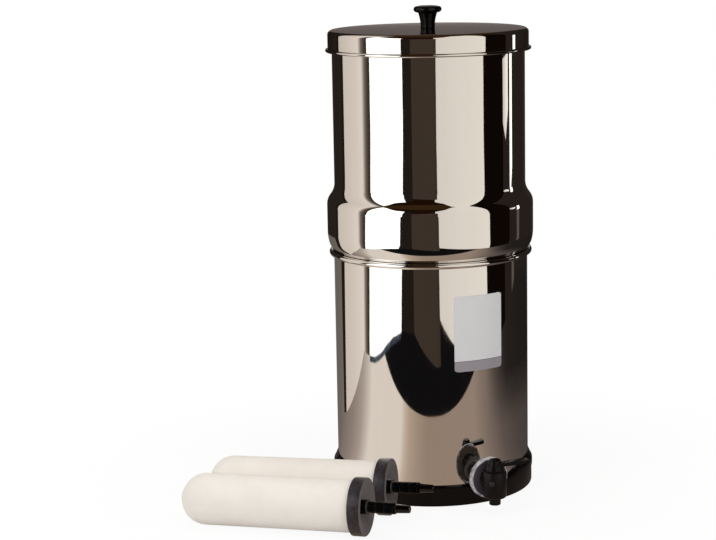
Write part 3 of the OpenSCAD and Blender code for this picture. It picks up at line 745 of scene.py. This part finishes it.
# A candle lies on its shell and on its wider cap, so its axis leans
lean = math.asin((cap_r - candle_r) / (candle_l - candle_r - (cap_t - 1.2)))
lift = candle_r + (candle_l - candle_r) * math.sin(lean)
back_side = ring_lip + cap_r + 0.4
front_side = back_side + 2 * cap_r + 12
# Each candle's turn, its distance from the vessels' axis, and how far its cap's face stands back
places = {"front": (-40.5, front_side, 13.2), "back": (-38.8, back_side, 11.7)}

for side, (turn, out, short) in places.items():
    body = side + "_candle"
    laid = (Matrix.Rotation(math.radians(turn), 4, "Z")
            @ Matrix.Translation((-short * mm, -out * mm, lift * mm))
            @ Matrix.Rotation(math.pi / 2 - lean, 4, "Y"))
    thread = grown(thread_tree, Radius=thread_r * mm, Length=26.2 * mm, Turns=15.0, Ridge=0.45 * mm,
                   Material=stem_black.material)
    thread.transform(Matrix.Translation((0, 0, 2.2 * mm)))
    stem = softened(joined(body + "_threaded_stem", turned("stem", stem_outline, 48), thread))
    marked(stem, "smooth", lambda face: face.center.z > thread_end * mm)
    stem.transform(laid)
    axis = laid.to_3x3() @ Vector((0, 0, 1))
    # The faces that turn along the candle's axis take the cap's painted light
    cap = marked(copied(body + "_cap", 0.3), "painted_lit_face", lambda face: face.normal.dot(axis) > 0.6)
    for end, mesh, finish, node in (
            ("_ceramic", copied(body + "_shell", 0.5), ceramic, "_shell"),
            ("_filling", copied(body + "_carbon"), charcoal, "_carbon"),
            ("_end_cap", cap, cap_plastic, "_cap"),
            ("_threaded_stem", stem, stem_black, "_stem"),
            ("_seal", copied(body + "_washer", 0.3), rubber, "_washer")):
        piece(body + end, mesh, finish.material, body, body + node).visible_glossy = False


# ---- Label ---------------------------
# A glossy white card label with round corners is stuck to the lower vessel's wall. A thin dark
# line parts its white field from a lilac band along the bottom; nothing is printed on it.

label_r = lower_r + 0.12
label_w, label_h, label_round = 55.2, 77.6, 3.0
label_middle = (math.radians(2.9), 178.1)  # its place round the wall, and its height


def on_wall(x, y):
    """The place on the wall of a point of the card, from the card's middle."""
    a = label_middle[0] + x / label_r
    return label_r * mm * math.sin(a), -label_r * mm * math.cos(a), (label_middle[1] + y) * mm


bm = bmesh.new()
columns, rows = 56, 78
uv = bm.loops.layers.uv.new("UVMap")
grid = []
for j in range(rows + 1):
    y = (j / rows - 0.5) * label_h
    past = max(0.0, label_round - (label_h / 2 - abs(y)))      # how far into a round corner
    pull = label_round - math.sqrt(label_round ** 2 - past ** 2)
    line = []
    for i in range(columns + 1):
        x = (i / columns - 0.5) * (label_w - 2 * pull)
        line.append((bm.verts.new(on_wall(x, y)), x / label_w + 0.5, y / label_h + 0.5))
    grid.append(line)
for j in range(rows):
    for i in range(columns):
        corners = grid[j][i], grid[j][i + 1], grid[j + 1][i + 1], grid[j + 1][i]
        face = bm.faces.new([v for v, _, _ in corners])
        for loop, (_, s, t) in zip(face.loops, corners):
            loop[uv].uv = (s, t)
blank = placed("blank", meshed(bm, "label_card"))
thick = blank.modifiers.new("thick", "SOLIDIFY")
thick.thickness, thick.offset = 0.2 * mm, 1.0
card = Finish("white_label_card", Roughness=0.3)
place = card.add("UVMap", uv_map="UVMap")
split = card.add("SeparateXYZ")
card.link(place.outputs["UV"], split.inputs["Vector"])
ramp = card.add("ValToRGB")
ramp.color_ramp.interpolation = "CONSTANT"
ramp.color_ramp.elements[0].color = (0.27, 0.248, 0.28, 1)
ramp.color_ramp.elements[1].position = 0.129
ramp.color_ramp.elements[1].color = (0.12, 0.12, 0.13, 1)
ramp.color_ramp.elements.new(0.137).color = (0.62, 0.62, 0.635, 1)
card.link(split.outputs["Y"], ramp.inputs["Fac"])
tint = card.over(ramp.outputs["Color"], card.mask(900.0, 0.4, 0.7), (0.965, 0.965, 0.965), "MULTIPLY")
card.feed(Base_Color=tint, Roughness=card.between(card.mask(90.0, 0.4, 0.7), 0.30, 0.36),
          Normal=card.bump(card.mask(400.0, 0.2, 0.8), 0.01, 0.3))
piece("label_card", softened(baked(blank)), card.material, "lower")


# ---- Studio --------------------------
# A pale floor, soft lamps, and the boards, drapes and soft box that stand round the filter and
# show in its polish. The boards are seen only in reflections. The camera stands at the left.

facing = math.radians(25.8)     # from the camera's direction round to the tap's


def studio(x, y, z):
    """A point given from the camera's side: x to its right, y away from it."""
    return (x * math.cos(facing) + y * math.sin(facing), y * math.cos(facing) - x * math.sin(facing), z)


def linear(r, g, b):
    """A colour of 0 to 255 as the shaders take it; over 255 it is brighter than white."""
    return tuple(((c / 255 + 0.055) / 1.055) ** 2.4 if c > 10 else c / 255 / 12.92 for c in (r, g, b))


# What the polish shows of a board is a sixth darker than the board
shown = bpy.data.materials.new("boards_and_drapes")
shown.use_nodes = True
shown.node_tree.nodes.clear()
paint, lit, end = added(shown.node_tree, "VertexColor", "Emission", "OutputMaterial")
paint.layer_name = "shown"
lit.inputs["Strength"].default_value = 1 / 0.84
wired(shown.node_tree,
      (paint.outputs["Color"], lit.inputs["Color"]), (lit.outputs[0], end.inputs["Surface"]))


def lit_mesh(name, points, faces, colours):
    """Something that shows only in the polish, with its own colour at each point."""
    mesh = bpy.data.meshes.new(name)
    mesh.from_pydata([studio(*[c * mm for c in p]) for p in points], [], faces)
    layer = mesh.color_attributes.new("shown", "FLOAT_COLOR", "POINT")
    for k, colour in enumerate(colours):
        layer.data[k].color = (*linear(*colour), 1)
    mesh.materials.append(shown)
    obj = placed(name, mesh)
    obj.visible_camera = obj.visible_diffuse = obj.visible_shadow = False
    obj.visible_transmission = obj.visible_volume_scatter = False


lean_top = 300                  # above it a leaning board stands upright


def board(name, *posts):
    """An upright board from post to post, each (x, y, low, high, colour) as the camera has it.

    A post may lean: two more numbers say how far it has moved over at lean_top and above."""
    points, colours = [], []
    for x, y, low, high, colour, *over in posts:
        dx, dy = over or (0, 0)
        middle = max(lean_top, low + 1)
        points += [(x, y, low), (x + dx, y + dy, middle), (x + dx, y + dy, max(high, middle + 1))]
        colours += [colour] * 3
    lit_mesh(name, points, [(3 * i + k, 3 * i + k + 3, 3 * i + k + 4, 3 * i + k + 1)
                            for i in range(len(posts) - 1) for k in range(2)], colours)


def round_about(start, end, colour, away=1500, low=-50, high=2100):
    """Posts on a circle about the filter, the angle counted from the camera to its right."""
    n = max(2, int(abs(end - start) / 6))
    turns = [math.radians(start + (end - start) * i / n) for i in range(n + 1)]
    return [(away * math.sin(t), -away * math.cos(t), low, high, colour) for t in turns]


black, dark, brown, white = (12, 7, 5), (36, 30, 27), (26, 13, 5), (290, 290, 287)
board("front_brown_drape", *round_about(-112, 112, brown))
board("right_back_drape", *round_about(112, 166, (42, 37, 34)))
board("back_drape", *round_about(166, 194, (113, 105, 102)))
board("left_back_drape", *round_about(194, 248, (42, 38, 35)))
board("back_pale_board", *round_about(168, 192, (196, 188, 178), 1000, 0, 500))
board("left_dark_drape", (-345, 146, 200, 1600, dark, -17, -22), (-330, 230, 200, 1600, dark),
      (-200, 420, 200, 1600, dark))
board("left_board_edge", (-345, 146, 0, 1600, (24, 16, 11), -17, -22), (-320, 176, 0, 1600, (40, 34, 30)))
board("left_beige_board", (-345, 146, 0, 1600, (197, 188, 178), -17, -22),
      (-745, -95, 0, 1600, (216, 207, 198), 4, -14))
board("soft_box_side", (-745, -95, 0, 1400, (216, 207, 198), 4, -14),
      (-728, -137, 0, 1400, (112, 103, 93), 8, -30), (-715, -170, 0, 1400, (64, 56, 48), 14, -48),
      (-696, -215, 0, 1400, (48, 41, 33), 18, -62))
board("soft_box", (-702, -200, 0, 1150, white, 18, -62), (-655, -330, 0, 1060, white, 30, -60),
      (-640, -510, 0, 950, white, 40, -55), (-600, -630, 0, 900, white, 50, -50),
      (-505, -755, 0, 880, white, 61, -41))
rim_places = (-667, -196), (-639, -277), (-623, -361), (-610, -451), (-585, -560), (-500, -700)
for k, (a, b) in enumerate(zip(rim_places, rim_places[1:])):
    lit_mesh("soft_box_rim_%d" % k, [(*a, 0), (*b, 0), (*b, 9), (*a, 9)], [(0, 1, 2, 3)], [(48, 56, 68)] * 4)
board("camera_dark", (-520, -765, 0, 880, (30, 25, 22)), (-296, -857, 0, 760, (30, 25, 22)))
board("camera_drape", (-296, -856, 0, 565, (58, 49, 42)), (67, -696, 0, 565, (58, 49, 42), -17, 0),
      (121, -694, 0, 565, (53, 44, 36), -24, 0))
board("right_beige_board", (110, -1062, 0, 1000, (209, 202, 194)),
      (290, -827, 0, 1140, (213, 206, 198), -5, -10), (458, -608, 0, 1600, (217, 210, 202), -10, -20),
      (690, -305, 0, 1600, (222, 216, 207), -16, -34))
board("right_black_board", (690, -305, 0, 1300, black, -16, -34), (930, 60, 0, 1300, black))
board("wedge_light", (920, 40, 302, 385, (190, 182, 174)), (975, 150, 265, 385, (225, 218, 210)),
      (1025, 250, 301, 385, (251, 244, 236)))
board("strip_light", (1065, 330, 150, 450, white), (1135, 470, 190, 450, white))
lit_mesh("strip_stand", [(1065, 330, 0), (1135, 470, 0), (1135, 470, 190), (1065, 330, 150)],
         [(0, 1, 2, 3)], [(84, 78, 74)] * 4)
board("right_dark_drape", (935, 62, 0, 1600, dark), (1180, 560, 0, 1600, dark), (900, 900, 0, 1600, dark),
      (640, 1020, 0, 1600, dark))

# The table, as the polish shows it: its colours at angles counted from the camera to its right, with painted
# light, lighter on the left and darker on the right
stops = [(-180, (120, 118, 114)), (-150, (94, 90, 86)), (-130, (104, 96, 91)), (-113, (124, 113, 106)),
         (-98, (139, 126, 119)), (-84, (162, 149, 140)), (-76, (188, 179, 169)), (-70, (211, 203, 193)),
         (-33, (211, 202, 191)), (-29, (188, 171, 156)), (-24, (170, 153, 135)), (-16, (155, 138, 122)),
         (-6, (144, 126, 111)), (45, (142, 126, 114)), (80, (90, 80, 75)), (105, (74, 66, 62)),
         (150, (62, 57, 55)), (180, (120, 118, 114))]


def table_colour(angle, away):
    """The table's colour at a place; on the right a painted shade darkens it away from the filter."""
    for (a, first), (b, second) in zip(stops, stops[1:]):
        if a <= angle <= b:
            colour = [p + (q - p) * (angle - a) / (b - a) for p, q in zip(first, second)]
    on_right = min(1.0, max(0.0, (angle - 62) / 30), max(0.0, (175 - angle) / 15))
    shade = 1 - on_right * min(0.55, max(0.0, (away - 350) / 450))
    return tuple(c * shade for c in colour)


spokes = [(a, r) for a in range(-180, 181, 2) for r in (20, 350, 480, 620, 800, 1480)]
lit_mesh("table_top",
         [(r * math.sin(math.radians(a)), -r * math.cos(math.radians(a)), 0.4) for a, r in spokes],
         [(6 * i + k, 6 * i + k + 6, 6 * i + k + 7, 6 * i + k + 1) for i in range(180) for k in range(5)],
         [table_colour(a, r) for a, r in spokes])


def cover(name, end, z, colour):
    """A level sheet that reaches away from the camera as far as its end."""
    lit_mesh(name, [(-1500, -1500, z), (1500, -1500, z), (1500, end, z), (-1500, end, z)],
             [(0, 1, 2, 3)], [colour] * 4)


cover("black_cloth", -447, 0.8, (15, 14, 15))
cover("brown_ceiling", 1500, 2090, (49, 32, 16))

# The floor that the camera sees: it takes a faint soft shadow near the filter, and is white beyond
pale = bpy.data.materials.new("pale_floor")
pale.use_nodes = True
pale.node_tree.nodes.clear()
diffuse, lit, rays, seen, where, far, fade, mix, end = added(
    pale.node_tree, "BsdfDiffuse", "Emission", "LightPath", "Math", "TexCoord", "VectorMath", "MapRange",
    "MixShader", "OutputMaterial")
diffuse.inputs["Color"].default_value = (0.86, 0.86, 0.86, 1)
seen.operation, far.operation = "MULTIPLY", "LENGTH"
fade.interpolation_type = "SMOOTHSTEP"
fade.inputs["From Min"].default_value = 0.12
fade.inputs["From Max"].default_value = 0.50
fade.inputs["To Min"].default_value = 0.9
wired(pale.node_tree,
      (where.outputs["Object"], far.inputs[0]), (far.outputs["Value"], fade.inputs["Value"]),
      (fade.outputs["Result"], seen.inputs[0]), (rays.outputs["Is Camera Ray"], seen.inputs[1]),
      (seen.outputs[0], mix.inputs["Fac"]), (diffuse.outputs[0], mix.inputs[1]),
      (lit.outputs[0], mix.inputs[2]), (mix.outputs[0], end.inputs["Surface"]))
floor_mesh = bpy.data.meshes.new("floor")
floor_mesh.from_pydata([studio(x, y, 0) for x, y in ((-9, -9), (9, -9), (9, 9), (-9, 9))], [], [range(4)])
floor_mesh.materials.append(pale)
ground = placed("floor", floor_mesh)
ground.visible_glossy = False

# Soft light from all round; the camera sees plain white behind it
world = bpy.data.worlds.new("studio")
bpy.context.scene.world = world
world.use_nodes = True
world.node_tree.nodes.clear()
soft, clean, rays, either, mix, end = added(
    world.node_tree, "Background", "Background", "LightPath", "Math", "MixShader", "OutputWorld")
soft.inputs["Color"].default_value = (1.0, 0.985, 0.96, 1)
soft.inputs["Strength"].default_value = 0.34
clean.inputs["Color"].default_value = (1, 1, 1, 1)
either.operation = "MAXIMUM"
wired(world.node_tree,
      (rays.outputs["Is Camera Ray"], either.inputs[0]),
      (rays.outputs["Is Transmission Ray"], either.inputs[1]),
      (either.outputs[0], mix.inputs["Fac"]), (soft.outputs[0], mix.inputs[1]),
      (clean.outputs[0], mix.inputs[2]), (mix.outputs[0], end.inputs["Surface"]))


def lamp(name, x, y, z, size, power):
    """A square lamp, in metres and watts, that shines on the filter."""
    data = bpy.data.lights.new(name, "AREA")
    data.shape, data.size, data.energy, data.color = "SQUARE", size, power, (1, 0.985, 0.96)
    obj = placed(name, data)
    obj.location = studio(x, y, z)
    obj.rotation_mode = "QUATERNION"
    obj.rotation_quaternion = (Vector((0, 0, 0.2)) - obj.location).to_track_quat("-Z", "Y")
    obj.visible_glossy = obj.visible_camera = False


lamp("key", -1.6, -1.5, 1.5, 1.2, 24)
lamp("fill", 1.5, -1.4, 1.3, 1.4, 18)
lamp("top", 0.0, 0.3, 2.4, 1.8, 22)

# The camera, its lens, place and turns fitted to the photograph
camera = placed("camera", bpy.data.cameras.new("camera"))
bpy.context.scene.camera = camera
camera.data.sensor_width = 36
camera.data.lens = 97.11
camera.data.clip_start, camera.data.clip_end = 0.05, 50
turn, down, roll = -0.0383, 0.1862, -0.0194
back_off, eye_z = 1.9988, 0.6042
ahead = Vector((math.sin(turn) * math.cos(down), math.cos(turn) * math.cos(down), -math.sin(down)))
right = Vector((math.cos(turn), -math.sin(turn), 0))
up = right.cross(ahead)
right, up = right * math.cos(roll) + up * math.sin(roll), up * math.cos(roll) - right * math.sin(roll)
pose = Matrix([right, up, -ahead]).transposed().to_4x4()
camera.matrix_world = Matrix.Rotation(-facing, 4, "Z") @ Matrix.Translation((0, -back_off, eye_z)) @ pose

bpy.context.scene.view_settings.view_transform = "Standard"

bpy.context.view_layer.update()
